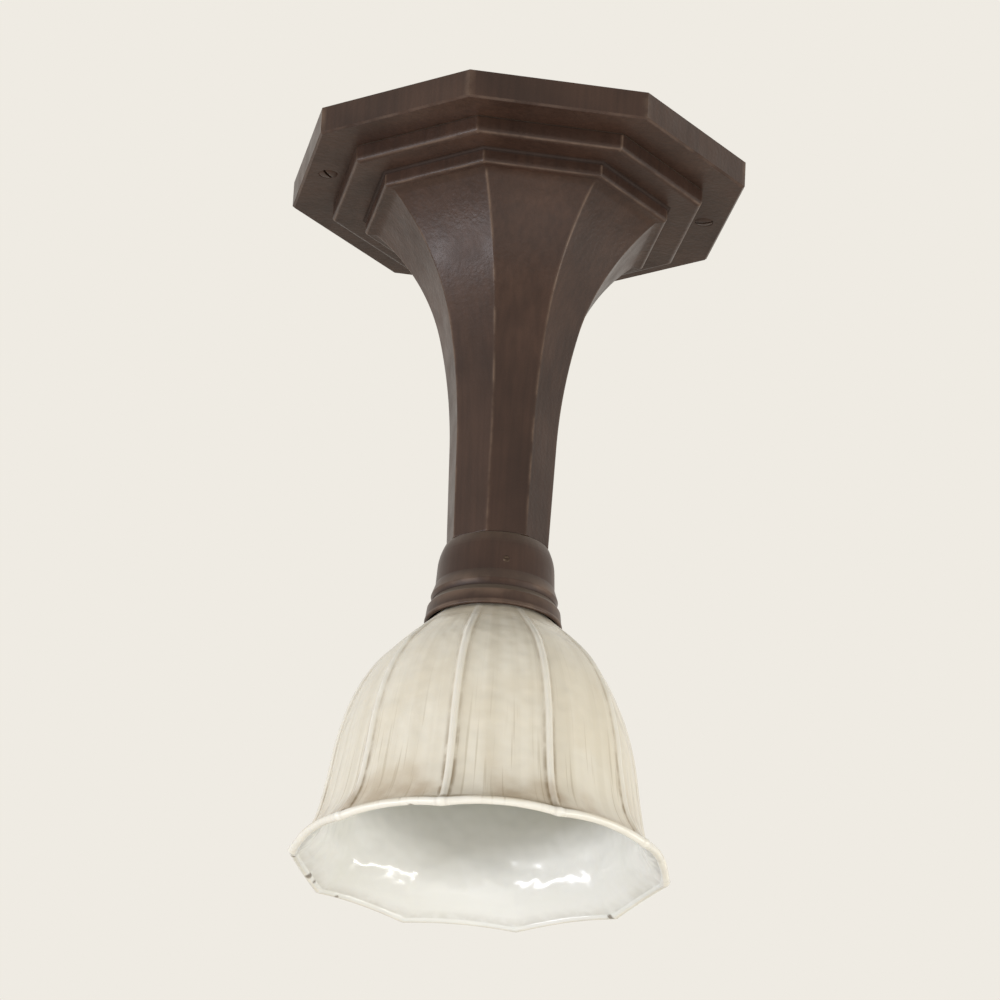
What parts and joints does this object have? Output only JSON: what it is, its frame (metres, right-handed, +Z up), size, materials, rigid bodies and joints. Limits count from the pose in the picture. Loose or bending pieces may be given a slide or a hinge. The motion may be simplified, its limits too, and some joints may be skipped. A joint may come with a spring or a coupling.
{
  "type": "ceiling lamp with ribbed glass bell shade, from a railway coach interior",
  "caption": "Ceiling lamp: octagonal screwed canopy, hollow flared stem, shade holder, lampholder and ribbed opal glass bell, lighting the space below it.",
  "frame": {"origin": "centre of the canopy plate's back, on the ceiling, midway between its two screw holes", "axes": "+Z up into the ceiling along the lamp's axis; +X through the canopy's two screw holes; the lamp hangs along -Z"},
  "size_m": [0.24, 0.24, 0.4165],
  "materials": {
    "painted_casting": "chocolate brown paint, semi-gloss, a little worn and dusty",
    "painted_holder": "chocolate brown paint over spun brass",
    "screw_brass": "tarnished",
    "porcelain": "glazed white",
    "contact_brass": "dull",
    "opal_glass": "opaque cream opal glass, white and glossy inside, grimy beside the ribs"
  },
  "bodies": {
    "root": {"canopy_plate": "painted_casting", "stem": "painted_casting", "nipple": "contact_brass", "shade_holder": "painted_holder", "shade_screws": "screw_brass", "lampholder_body": "porcelain", "screw_shell": "contact_brass", "centre_contact": "contact_brass", "shade": "opal_glass"}
  },
  "joints": []
}
